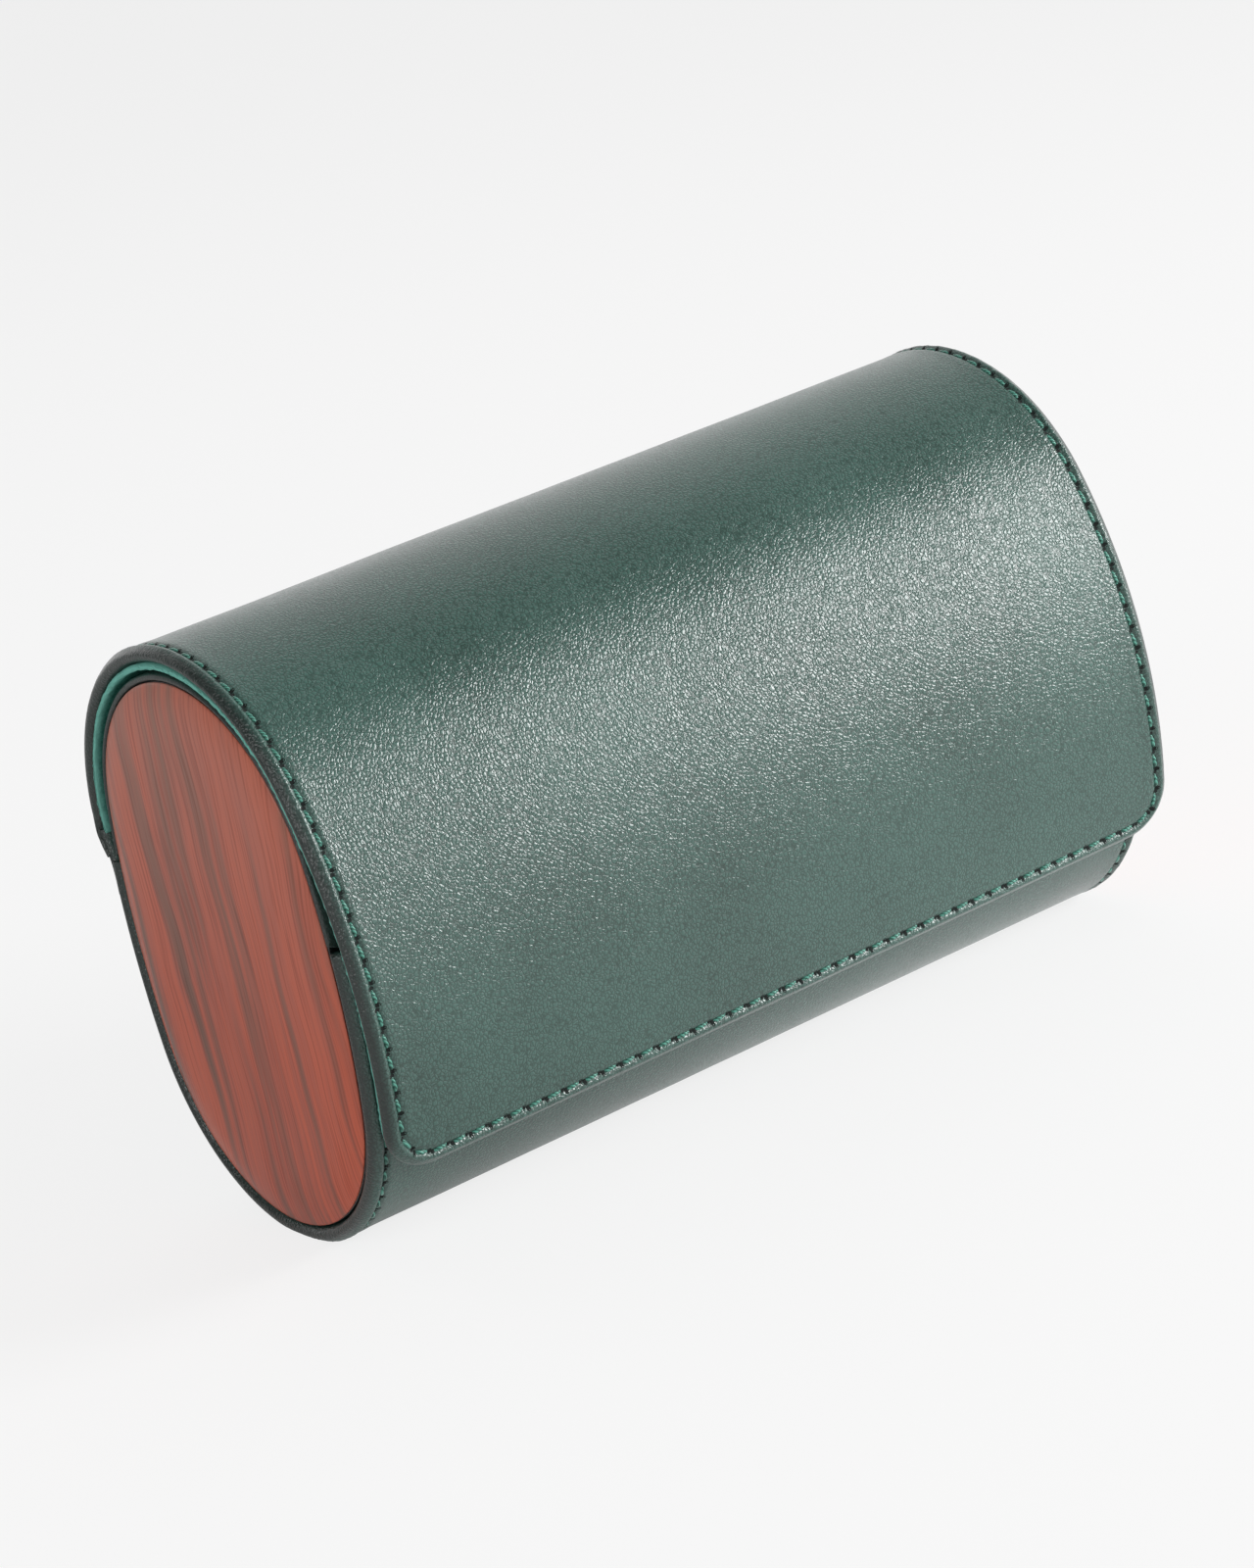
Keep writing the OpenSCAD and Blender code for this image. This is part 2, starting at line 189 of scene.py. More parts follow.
class Graph:
    """A node tree with helpers that add and join its nodes."""

    def __init__(self, tree):
        self.tree = tree

    def add(self, kind, **settings):
        """A new node, with inputs or properties of these names set."""
        node = self.tree.nodes.new(kind)
        for key, value in settings.items():
            if key in node.inputs:
                node.inputs[key].default_value = value
            else:
                setattr(node, key, value)
        return node

    def join(self, out, into):
        self.tree.links.new(out, into)

    def axes(self, vector):
        node = self.add("ShaderNodeSeparateXYZ")
        self.join(vector, node.inputs[0])
        return node.outputs

    def remap(self, value, low, high, to_low=0.0, to_high=1.0):
        node = self.add("ShaderNodeMapRange")
        for key, number in zip(("From Min", "From Max", "To Min", "To Max"),
                               (low, high, to_low, to_high)):
            node.inputs[key].default_value = number
        self.join(value, node.inputs["Value"])
        return node.outputs["Result"]

    def math(self, operation, *values):
        node = self.add("ShaderNodeMath", operation=operation)
        for value, socket in zip(values, node.inputs):
            if isinstance(value, float):
                socket.default_value = value
            else:
                self.join(value, socket)
        return node.outputs[0]

    def sum(self, a, b, share=1.0):
        return self.math("MULTIPLY_ADD", b, share, a)


class Look(Graph):
    """A material round one Principled shader."""

    def __init__(self, name, **sockets):
        self.mat = bpy.data.materials.new(name)
        self.mat.use_nodes = True
        super().__init__(self.mat.node_tree)
        self.shader = self.tree.nodes["Principled BSDF"]
        for key, value in sockets.items():
            self.shader.inputs[key.replace("_", " ")].default_value = value
        self.here = self.add("ShaderNodeTexCoord").outputs["Object"]

    def stretch(self, x, y, z, vector):
        node = self.add("ShaderNodeMapping")
        node.inputs["Scale"].default_value = (x, y, z)
        self.join(vector, node.inputs["Vector"])
        return node.outputs["Vector"]

    def noise(self, scale, detail=2.0, vector=None, rough=0.5, distortion=0.0):
        node = self.add("ShaderNodeTexNoise", Scale=scale, Detail=detail, Roughness=rough,
                        Distortion=distortion)
        self.join(vector or self.here, node.inputs["Vector"])
        return node.outputs["Fac"]

    def creases(self, scale, vector):
        """Distance to the edges of a net of cells."""
        node = self.add("ShaderNodeTexVoronoi", feature="DISTANCE_TO_EDGE", Scale=scale)
        self.join(vector, node.inputs["Vector"])
        return node.outputs["Distance"]

    def bent(self, scale, detail, share):
        """Coordinates that sway with noise, so that a regular pattern wanders."""
        sway = self.add("ShaderNodeTexNoise", Scale=scale, Detail=detail)
        self.join(self.here, sway.inputs["Vector"])
        node = self.add("ShaderNodeMix", data_type="VECTOR")
        node.inputs["Factor"].default_value = share
        self.join(self.here, node.inputs[4])
        self.join(sway.outputs["Color"], node.inputs[5])
        return node.outputs[1]

    def ramp(self, value, *stops):
        node = self.add("ShaderNodeValToRGB")
        elements = node.color_ramp.elements
        while len(elements) < len(stops):
            elements.new(0.5)
        for element, (at, colour) in zip(elements, stops):
            element.position = at
            element.color = colour
        self.join(value, node.inputs["Fac"])
        return node.outputs["Color"]

    def mix(self, factor, a, b, mode="MIX"):
        node = self.add("ShaderNodeMix", data_type="RGBA", blend_type=mode)
        if isinstance(factor, float):
            node.inputs["Factor"].default_value = factor
        else:
            self.join(factor, node.inputs["Factor"])
        for value, socket in ((a, node.inputs[6]), (b, node.inputs[7])):
            if isinstance(value, tuple):
                socket.default_value = value
            else:
                self.join(value, socket)
        return node.outputs[2]

    def bump(self, height, depth_mm, strength=1.0):
        node = self.add("ShaderNodeBump", Strength=strength)
        node.inputs["Distance"].default_value = depth_mm * MM
        self.join(height, node.inputs["Height"])
        return node.outputs["Normal"]

    def near_ends(self, start, full, share):
        """Rises from 0 to share between two distances in mm from the tube's ends."""
        reach = self.math("ABSOLUTE", self.axes(self.here)["X"])
        end = TUBE_L / 2
        return self.remap(reach, (end - start) * MM, (end - full) * MM, 0.0, share)

    def finish(self, colour, rough, normal):
        if colour:
            self.join(colour, self.shader.inputs["Base Color"])
        if rough:
            self.join(rough, self.shader.inputs["Roughness"])
        if normal:
            self.join(normal, self.shader.inputs["Normal"])
            self.join(normal, self.shader.inputs["Coat Normal"])
        return self.mat


def leather_look(name, light, dark, grain=1600.0, rough=(0.33, 0.39), depth=0.048):
    """Pebbled leather: small swollen cells, fine creases painted darker as their shade, and
    painted shade that turns the leather nearly black at the tube's ends.
    """
    look = Look(name, Specular_IOR_Level=0.5, Coat_Weight=0.5, Coat_Roughness=0.26)
    net = look.bent(900.0, 2.0, 0.0007)
    pebble = look.creases(grain, net)
    wrinkle = look.creases(grain * 0.55, net)
    fine = look.noise(grain * 2.6, 3.0)
    mottle = look.noise(28.0, 3.0)
    height = look.sum(look.remap(pebble, 0.0, 0.3), look.remap(wrinkle, 0.0, 0.1), 0.2)
    height = look.sum(height, fine, 0.2)
    # Painted shade: the creases between the pebbles are coloured darker, on top of the mottle's
    # own tone.
    tone = look.sum(look.remap(mottle, 0.3, 0.7, 0.35, 0.65),
                    look.remap(pebble, 0.0, 0.16, -0.45, 0.2))
    colour = look.ramp(tone, (0.0, dark), (1.0, light))
    # Painted shade: the leather darkens nearly to black within about a millimetre of the tube's
    # ends.
    colour = look.mix(look.near_ends(1.2, 0.2, 0.85), colour, rgb(26, 32, 30))
    roughness = look.remap(mottle, 0.35, 0.65, *rough)
    return look.finish(colour, roughness, look.bump(height, depth))


def suede_look(name, light, dark, painted_edge_light):
    """A short brushed nap: soft patches, fine fibres, a sheen, and a paler band painted near the
    tube's ends as light caught by the nap.
    """
    look = Look(name, Roughness=0.95, Specular_IOR_Level=0.15, Sheen_Weight=0.45,
                Sheen_Roughness=0.5, Sheen_Tint=light)
    nap = look.noise(2600.0, 4.0, rough=0.7)
    brushed = look.noise(90.0, 3.0, distortion=0.6)
    tone = look.sum(look.remap(brushed, 0.3, 0.7, 0.1, 0.75),
                    look.remap(nap, 0.35, 0.65, -0.4, 0.45))
    colour = look.ramp(tone, (0.0, dark), (1.0, light))
    # Painted light: the suede is paled towards the tube's ends.
    colour = look.mix(look.near_ends(1.4, 0.4, 0.6), colour, painted_edge_light)
    return look.finish(colour, None, look.bump(nap, 0.12, 0.7))


def wood_look(name):
    """Veneer: long red-brown streaks that run up the oval, under a thin varnish, with painted
    light making the top paler.
    """
    look = Look(name, Specular_IOR_Level=0.3, Coat_Weight=0.25, Coat_Roughness=0.12)
    grain = look.bent(38.0, 1.0, 0.0045)
    bands = look.noise(1.0, 2.0, look.stretch(50, 190, 9, grain), 0.55)
    streaks = look.noise(1.0, 4.0, look.stretch(120, 480, 12, grain), 0.6)
    pores = look.noise(1.0, 2.0, look.stretch(500, 2300, 34, grain), 0.6)
    tone = look.sum(look.remap(streaks, 0.32, 0.7, -0.25, 0.4),
                    look.remap(bands, 0.46, 0.68), 0.8)
    colour = look.ramp(
        tone,
        (0.0, rgb(208, 101, 73)),
        (0.35, rgb(190, 95, 73)),
        (0.65, rgb(158, 91, 73)),
        (1.0, rgb(132, 87, 71)),
    )
    # Painted light: the face is made paler towards the top, standing in for the brighter
    # reflection it catches there.
    painted_top_light = look.remap(look.axes(look.here)["Z"], 0.03, 0.088, 0.0, 0.4)   # paler at the top
    colour = look.mix(painted_top_light, colour, rgb(200, 142, 124))
    fleck = look.ramp(pores, (0.34, rgb(200, 178, 172)), (0.5, (1, 1, 1, 1)))
    colour = look.mix(0.6, colour, fleck, "MULTIPLY")
    rough = look.remap(streaks, 0.3, 0.7, 0.42, 0.34)
    return look.finish(colour, rough, look.bump(pores, 0.02, 0.2))


def lacquer_look(name):
    """Black lacquer with a little dust."""
    look = Look(name, Roughness=0.16, Specular_IOR_Level=0.55, Coat_Weight=0.6,
                Coat_Roughness=0.06)
    dust = look.noise(700.0, 3.0)
    colour = look.ramp(dust, (0.3, rgb(10, 10, 11)), (0.75, rgb(26, 25, 25)))
    return look.finish(colour, look.remap(dust, 0.3, 0.7, 0.12, 0.24), None)


def thread_look(name, light, dark):
    """Twisted thread: slanted ridges, a little sheen."""
    look = Look(name, Specular_IOR_Level=0.55, Sheen_Weight=0.3, Sheen_Roughness=0.4)
    twist = look.add("ShaderNodeTexWave", wave_type="BANDS", bands_direction="DIAGONAL",
                     Scale=900.0, Distortion=1.5)
    look.join(look.here, twist.inputs["Vector"])
    colour = look.ramp(twist.outputs["Fac"], (0.1, dark), (0.8, light))
    rough = look.remap(twist.outputs["Fac"], 0, 1, 0.6, 0.32)
    return look.finish(colour, rough, look.bump(twist.outputs["Fac"], 0.05, 0.6))


def plain_look(name, light, dark, rough=0.8, scale=400.0, **sockets):
    """A quiet surface for parts that mostly stay hidden."""
    look = Look(name, Roughness=rough, **sockets)
    speck = look.noise(scale, 5.0, rough=0.65)
    colour = look.ramp(speck, (0.3, dark), (0.7, light))
    return look.finish(colour, None, look.bump(speck, 0.05, 0.4))


LEATHER = leather_look("green_leather", rgb(68, 104, 95), rgb(34, 58, 51))
RIM_LEATHER = leather_look("rim_leather", rgb(60, 82, 76), rgb(36, 52, 47), 1900.0,
                           (0.34, 0.44), 0.03)
# Its third colour is painted light: the paler band near the tube's ends.
SUEDE = suede_look("teal_suede", rgb(78, 156, 140), rgb(28, 92, 80), rgb(150, 224, 210))
WOOD = wood_look("red_wood")
LACQUER = lacquer_look("black_lacquer")
THREAD = thread_look("green_thread", rgb(84, 156, 138), rgb(26, 80, 68))
# Painted shade: the dark colour of the discs that stand for the needle holes.
HOLE_SHADE = plain_look("needle_hole_shade", rgb(14, 26, 23), rgb(6, 12, 11), 0.95)
BOARD = plain_look("grey_board", rgb(150, 138, 118), rgb(120, 108, 90), 0.9)
STEEL = plain_look("magnet_steel", rgb(200, 200, 204), rgb(160, 160, 165), 0.35, 900.0,
                   Metallic=1.0)

CAD_LOOKS = {
    "tray_board": RIM_LEATHER, "lid_board": BOARD, "divider_board": SUEDE,
    "end_wall_left": BOARD, "end_wall_right": BOARD,
    "tray_lining": SUEDE, "end_lining_left": SUEDE, "end_lining_right": SUEDE,
    "divider_suede_left": SUEDE, "divider_suede_right": SUEDE,
    "lip_roll": LEATHER, "tray_magnet": STEEL, "lid_magnet": STEEL,
}
for node_name, material in CAD_LOOKS.items():
    NODES[node_name].data.materials.clear()
    NODES[node_name].data.materials.append(material)


# ---------------------------------------------------------------- leather skins
WELD = 0.00001      # metres: the two faces of a sheet meet at its rolled edge
# Distances from an edge at which a skin has grid lines: dense over the roll
# and the seam, then wider. Those at an end without a seam are fewer.
EDGE_STEPS = [0, 0.02, 0.08, 0.18, 0.32, 0.5, 0.7, 0.9, 1.1, 1.3, 1.5, 1.7, 1.88, 2.04, 2.2,
              2.34, 2.5, 2.66, 2.84, 3.06, 3.4, 3.9, 4.6, 5.6, 7.2, 10.0]
NEAR_STEPS = [0, 0.05, 0.15, 0.5, 1.3]
GRID_X = 2.0        # spacing along the tube, away from the edges


def between(low, high, step):
    """Evenly spaced numbers between two others, without them."""
    count = max(1, round((high - low) / step))
    return [low + (high - low) * i / count for i in range(1, count)]


def quarter(d, width):
    """How far an edge of that width has rolled down at d: 1 at the edge, 0 inside."""
    if d >= width:
        return 0.0
    return 1 - math.sqrt(max(0.0, 1 - (1 - d / width) ** 2))


def seam_relief(d):
    """The raised hem beside a stitch line and the furrow that the thread pulls."""
    hem, furrow, swell = bell(d - 1.4, 0.55), bell(d - SEAM_IN, 0.36), bell(d - 3.6, 0.9)
    return 0.24 * hem - 0.34 * furrow + 0.08 * swell


class Skin:
    """A leather-covered sheet along a path, with its edges rolled over.

    It runs from s0 to s1 along the path and half_l to either side. The far
    corners, at s1, are rounded by corner. thick(s) is its thickness, end_roll
    the width over which its ends at s0 and s1 roll down, and far_seam says
    whether the end at s1 is rolled and stitched as its sides are.
    """

    def __init__(self, path, s0, s1, half_l, thick, corner=0.0, end_roll=(0, 0), far_seam=False):
        self.path, self.s0, self.s1, self.half_l = path, s0, s1, half_l
        self.thick, self.corner, self.end_roll, self.far_seam = thick, corner, end_roll, far_seam

    def far(self, x):
        """Where the sheet ends at that x, with its corner rounded."""
        over = abs(x) - (self.half_l - self.corner)
        if self.corner and over > 0:
            return self.s1 - self.corner + math.sqrt(max(0.0, self.corner**2 - over**2))
        return self.s1

    def depth(self, s, x):
        """Distance in from the sides and the far edge."""
        dx, ds = self.half_l - abs(x), self.s1 - s
        if not self.far_seam:
            return dx
        if dx < self.corner and ds < self.corner:
            return max(0.0, self.corner - math.hypot(self.corner - dx, self.corner - ds))
        return min(dx, ds)

    def height(self, s, x, top):
        """Height of the outer or the inner face over the path."""
        t = self.thick(s)
        d = self.depth(s, x)
        roll = quarter(d, EDGE_ROLL)
        for edge, width in ((s - self.s0, self.end_roll[0]), (self.s1 - s, self.end_roll[1])):
            if width:
                roll = max(roll, quarter(edge, width))
        if not top:
            return -t + 0.5 * t * roll
        y, z = self.path.at(s)[0]
        swell = 0.09 * wave(x, y, z, 26.0, 3.0) + 0.03 * wave(x, y, z, 8.0, 7.0)
        fade = min(1.0, d / 6.0)
        gathers = 0.09 * wave(0.4 * x, y, z, 1.1, 5.0) * bell(d - 1.1, 0.8)
        return -0.5 * t * roll + seam_relief(d) * (1 - roll) + swell * fade + gathers

    def vertex(self, s, x, top):
        point, normal = self.path.at(s)
        return place(x, point, normal, self.height(s, x, top))

    def rows(self, xs, step):
        """Distances along the path of the grid's points, for each x."""
        far_steps = EDGE_STEPS if self.far_seam or self.end_roll[1] else [0]
        near_steps = NEAR_STEPS if self.end_roll[0] else [0]
        rows = []
        for x in xs:
            end = self.far(x)
            low, high = self.s0 + near_steps[-1], end - far_steps[-1]
            count = round((self.s1 - far_steps[-1] - low) / step)
            rows.append([self.s0 + d for d in near_steps]
                        + [low + (high - low) * i / count for i in range(1, count)]
                        + [end - d for d in reversed(far_steps)])
        return rows

    def build(self, name, material, step=0.7):
        """The sheet as a closed mesh: its outer face, its inner face and its edge."""
        edge = [self.half_l - d for d in EDGE_STEPS]
        xs = [-x for x in edge] + between(-edge[-1], edge[-1], GRID_X) + edge[::-1]
        rows = self.rows(xs, step)
        verts, faces = [], []
        m, n = len(xs), len(rows[0])
        for top in (True, False):
            for x, row in zip(xs, rows):
                verts += [self.vertex(s, x, top) for s in row]
        for i in range(m - 1):
            for j in range(n - 1):
                a, b = i * n + j, (i + 1) * n + j
                faces.append((a, b, b + 1, a + 1))
                a, b = a + m * n, b + m * n
                faces.append((a, a + 1, b + 1, b))
        ring = [i * n for i in range(m)] + [(m - 1) * n + j for j in range(1, n)]
        ring += [i * n + n - 1 for i in range(m - 2, -1, -1)] + list(range(n - 2, 0, -1))
        for a, b in zip(ring, ring[1:] + ring[:1]):
            faces.append((b, a, a + m * n, b + m * n))
        return outward(new_object(name, verts, faces, [material]), WELD)


lid_path = Path(LID)
BOARD_LOW = 8       # the lid's board starts this many degrees under the level of its first arc
board_from = LID_TURN_R * math.radians(LID_TUCK - BOARD_LOW)


def lid_body(s):
    """The lid's leather and board, thicker where the leather is turned in behind."""
    return LID_BODY + TURN_IN * max(0.0, lid_path.at(s)[1][0])


def lid_thickness(s):
    """Bare leather at the hinge, leather round a board beyond it."""
    share = min(1.0, max(0.0, (s - board_from + 1.5) / 3.0))
    return LEATHER_T + (lid_body(s) - LEATHER_T) * share


lid_skin = Skin(lid_path, 0.0, lid_path.length, LID_L / 2, lid_thickness, LID_CORNER,
                (0.12, 0), True)
lid_leather = lid_skin.build("lid_leather_skin", LEATHER)
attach(lid_leather, "lid")
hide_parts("lid_leather")

tray_path = Path([OVAL[2], OVAL[3], (*OVAL[0][:3], 360 - MEET, 360 + MEET)], SKIN)
tray_from = tray_path.where(lambda y, z: z < LIP_Z)
tray_to = tray_path.where(lambda y, z: z > BACK_Z, tray_path.length * 0.6)
tray_skin = Skin(tray_path, tray_from, tray_to, TUBE_L / 2, lambda s: SKIN - WALL_IN,
                 end_roll=(0, 0.12))
tray_leather = tray_skin.build("tray_leather_skin", LEATHER)
for vertex in tray_leather.data.vertices:       # pressed flat where the box stands
    vertex.co.z = max(vertex.co.z, 0.0)
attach(tray_leather, "case")
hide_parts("tray_leather")


# ---------------------------------------------------------------- live hinge
class Fillet:
    """A smooth curve that rounds off the corner between the ends of two paths."""

    def __init__(self, first, s_first, second, s_second, low, high):
        self.start, self.corner = first.at(s_first - low)[0], first.at(s_first)[0]
        self.end = second.at(s_second + high)[0]
        self.length = low + high

    def at(self, s):
        t = s / self.length
        p = [(1 - t) ** 2 * a + 2 * t * (1 - t) * b + t * t * c
             for a, b, c in zip(self.start, self.corner, self.end)]
        d = [(1 - t) * (b - a) + t * (c - b) for a, b, c in zip(self.start, self.corner, self.end)]
        size = math.hypot(*d)
        return tuple(p), (d[1] / size, -d[0] / size)


HINGE_LOW, HINGE_HIGH, HINGE_T = 3.6, 4.4, 2.0  # lap on the tray, on the lid, and thickness
hinge_path = Fillet(tray_path, tray_to, lid_path, 0.0, HINGE_LOW, HINGE_HIGH)
hinge_skin = Skin(hinge_path, 0.0, hinge_path.length, TUBE_L / 2 - 0.05, lambda s: HINGE_T,
                  end_roll=(0.9, 0.9))
hinge_leather = hinge_skin.build("hinge_leather", LEATHER, 0.4)
hinge_y, hinge_z = lid_path.at(0)[0]
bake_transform(hinge_leather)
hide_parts("hinge_strip")


# ---------------------------------------------------------------- stitches
LINE_POINTS, CORNER_POINTS = 400, 12


def straight(start, end):
    """Evenly spaced points from start to end, with both."""
    return [(start[0] + (end[0] - start[0]) * i / LINE_POINTS,
             start[1] + (end[1] - start[1]) * i / LINE_POINTS) for i in range(LINE_POINTS + 1)]


def seam_line(skin, s_from, s_to, side):
    """The stitch line along one side of a skin, as (s, x) points."""
    x = side * (skin.half_l - SEAM_IN)
    return straight((s_from, x), (s_to, x))


def lid_line(skin, s_from):
    """Down one side, round the corner, along the free edge and up the other side."""
    r = skin.corner - SEAM_IN
    w, end = skin.half_l - skin.corner, skin.s1 - skin.corner
    turns = [math.radians(90 * i / CORNER_POINTS) for i in range(1, CORNER_POINTS + 1)]
    return [
        *straight((s_from, -w - r), (end, -w - r)),
        *((end + r * math.sin(a), -w - r * math.cos(a)) for a in turns),
        *straight((end + r, -w), (end + r, w))[1:],
        *((end + r * math.cos(a), w + r * math.sin(a)) for a in turns),
        *straight((end, w + r), (s_from, w + r))[1:],
    ]


def walk(points, pitch):
    """Evenly spaced (s, x, direction) along a line of points."""
    lengths = [0.0]
    for a, b in zip(points, points[1:]):
        lengths.append(lengths[-1] + math.dist(a, b))
    count = round(lengths[-1] / pitch)
    found, i = [], 0
    for k in range(count):
        at = lengths[-1] * (k + 0.5) / count
        while lengths[i + 1] < at:
            i += 1
        a, b = points[i], points[i + 1]
        share = (at - lengths[i]) / (lengths[i + 1] - lengths[i])
        size = math.dist(a, b)
        found.append((a[0] + (b[0] - a[0]) * share, a[1] + (b[1] - a[1]) * share,
                      (b[0] - a[0]) / size, (b[1] - a[1]) / size))
    return found


def stitches(name, skin, line, body, replaced, seed, lift=None):
    """Slanted thread stitches, each ending at a needle hole drawn as a flat dark disc of painted
    shade.
    """
    rng = random.Random(seed)
    verts, faces, slots = [], [], []
    rings, sides = 7, 8

    def surface(s, x):
        return skin.height(s, x, True)

    def emit(s, x, h):
        point, normal = skin.path.at(s)
        if lift:
            point = lift(point)
        verts.append(place(x, point, normal, h))

    for s, x, ds, dx in walk(line, STITCH_PITCH):
        tilt = math.radians(9 + rng.uniform(-3, 3))
        us = ds * math.cos(tilt) - dx * math.sin(tilt)
        ux = dx * math.cos(tilt) + ds * math.sin(tilt)
        vs, vx = -ux, us
        size = STITCH_L * rng.uniform(0.94, 1.05)
        base = surface(s, x) + 0.02
        first = len(verts)
        for i in range(rings):
            u = -1 + 2 * i / (rings - 1)
            fat = THREAD_R * math.sqrt(max(0.02, 1 - 0.7 * u * u))
            bow = base + 0.15 * (1 - u * u) - 0.2 * u**4
            for j in range(sides):
                a = 2 * math.pi * j / sides
                across, up = fat * math.cos(a), 0.8 * fat * math.sin(a)
                emit(s + us * u * size / 2 + vs * across, x + ux * u * size / 2 + vx * across,
                     bow + up)
        for i in range(rings - 1):
            for j in range(sides):
                k = (j + 1) % sides
                a, b = first + i * sides, first + (i + 1) * sides
                faces.append((a + j, a + k, b + k, b + j))
                slots.append(0)
        faces.append(tuple(first + j for j in range(sides))[::-1])
        faces.append(tuple(first + (rings - 1) * sides + j for j in range(sides)))
        slots += [0, 0]
        # Each needle hole is a flat dark disc on the leather: painted shade.
        for end in (-1, 1):
            cs, cx = s + us * end * size * 0.53, x + ux * end * size * 0.53
            centre = len(verts)
            emit(cs, cx, surface(cs, cx) + 0.05)
            for j in range(sides):
                a = 2 * math.pi * j / sides
                along, across = HOLE_ALONG * math.cos(a), HOLE_ACROSS * math.sin(a)
                ps, px = cs + us * along + vs * across, cx + ux * along + vx * across
                emit(ps, px, surface(ps, px) + 0.015)
            for j in range(sides):
                faces.append((centre, centre + 1 + j, centre + 1 + (j + 1) % sides))
                slots.append(1)
    piece = new_object(name, verts, faces, [THREAD, HOLE_SHADE])
    piece.data.polygons.foreach_set("material_index", slots)
    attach(piece, body)
    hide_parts(replaced)


stitches("lid_stitches", lid_skin, lid_line(lid_skin, 3.0), "lid", "lid_thread", 1)
front_top, back_top = tray_from + 1.5, tray_to - 1.5
for side, word in ((-1, "left"), (1, "right")):
    stitches("tray_stitches_" + word, tray_skin, seam_line(tray_skin, front_top, back_top, side),
             "case", "tray_thread_" + word, 5 + side,
             lambda p: (p[0], max(p[1], BASE_Z + 0.25)))


# ---------------------------------------------------------------- rings and lofts
def oval_ring(offset, count=160):
    """Evenly spaced points and normals round the plates' oval."""
    path = Path(OVAL, offset)
    return [path.at(path.length * i / count) for i in range(count)]


def loft(name, rings, material, close=True):
    """Joins rings of vertices, and closes both ends or joins the last to the first."""
    k = len(rings[0])
    verts = [v for ring in rings for v in ring]
    faces = [(i * k + j, i * k + (j + 1) % k, (i + 1) * k + (j + 1) % k, (i + 1) * k + j)
             for i in range(len(rings) - 1) for j in range(k)]
    if close:
        faces += [tuple(range(k))[::-1], tuple((len(rings) - 1) * k + j for j in range(k))]
    else:
        last = (len(rings) - 1) * k
        faces += [(last + j, last + (j + 1) % k, (j + 1) % k, j) for j in range(k)]
    return outward(new_object(name, verts, faces, [material]))


def shrunk(share, x):
    """The oval inside the wood's roll-off, drawn in towards its middle."""
    return [place(x, (p[0] * share, p[1] * share)) for p, _ in oval_ring(-6.0)]


END_X = TUBE_L / 2
FACE_X = END_X - PLATE_SET
FACE_IN = 0.15      # the wood stops short of the plate's edge
# A rim's section: height over the plate's outline and distance in from the tray's end.
RIM = ((-2.5, PLATE_SET + PLATE_T), (0.03, PLATE_SET + PLATE_T), (0.03, 0.8), (0.1, 0.5),
       (0.25, 0.34), (0.45, RIM_SET), (0.66, 0.38), (0.82, 0.6), (0.9, 0.95), (0.92, 2.0),
       (0.92, 5.0), (0.84, 5.6), (0.6, 5.95), (0.03, ROOM_IN), (-0.4, ROOM_IN - 0.5),
       (-2.5, ROOM_IN - 0.8))
# The wood's edge: distance in from its outline and height over the plate.
WOOD_EDGE = ((0, 0.14), (0.06, 0.24), (0.3, 0.36), (0.85, 0.5), (1.7, 0.69), (2.9, 0.89),
             (4.3, 1.02), (5.85, 1.09))
WOOD_RISE, CROWN = 1.09, 0.11
# The plate's edge: distance out from the oval and back from the plate's face.
PLATE_EDGE = ((-0.9, 0.0), (-0.3, 0.0), (-0.1, 0.07), (0.0, 0.3), (0.0, 1.5), (-0.1, PLATE_T),
              (-2.0, PLATE_T))


def top_gap(y):
    """Where the gap between rims and lid is widest, just behind the top."""
    return bell(y - 8.0, 18.0)


def rim_share(p):
    """Full height of a rim where the lid covers it, none where the tray does."""
    top = LIP_Z if p[0] < 0 else BACK_Z
    return min(1.0, max(0.0, (p[1] - top - 0.2) / 0.8)) ** 0.5


for side, word in ((-1, "left"), (1, "right")):
    # Wood face: a thin land, a soft roll-off and a slightly crowned middle.
    rings = [[place(side * (FACE_X - 0.02), p) for p, _ in oval_ring(-FACE_IN)]]
    for off, rise in WOOD_EDGE:
        rings.append([place(side * (FACE_X + rise), p) for p, _ in oval_ring(-FACE_IN - off)])
    for share in (0.9, 0.75, 0.55, 0.3, 0.08):
        rings.append(shrunk(share, side * (FACE_X + WOOD_RISE + CROWN * (1 - share**2))))
    face = loft("wood_face_" + word + "_piece", rings, WOOD)
    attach(face, "case")
    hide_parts("wood_face_" + word)

    # Black plate with eased edges.
    rings = [[place(side * (FACE_X - x), p) for p, _ in oval_ring(off)] for off, x in PLATE_EDGE]
    plate = loft("end_plate_" + word + "_piece", rings, LACQUER)
    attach(plate, "case")
    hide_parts("end_plate_" + word)

    # Leather rim of the end wall: a soft bead round the plate where no tray is.
    rings = []
    for low, x in RIM:
        ring = []
        for p, n in oval_ring(0.0, 240):
            share = rim_share(p)
            bead = share * (1 + 0.3 * top_gap(p[0]))
            h = low if low < 0 else low * bead + 0.03 * share * wave(*p, x, 3.0)
            back = x if x > RIM[0][1] else x * share + RIM[0][1] * (1 - share)
            ring.append(place(side * (END_X - back), p, n, h))
        rings.append(ring)
    rim = loft("end_rim_" + word, rings, RIM_LEATHER, close=False)
    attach(rim, "case")
    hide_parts("end_cover_" + word)


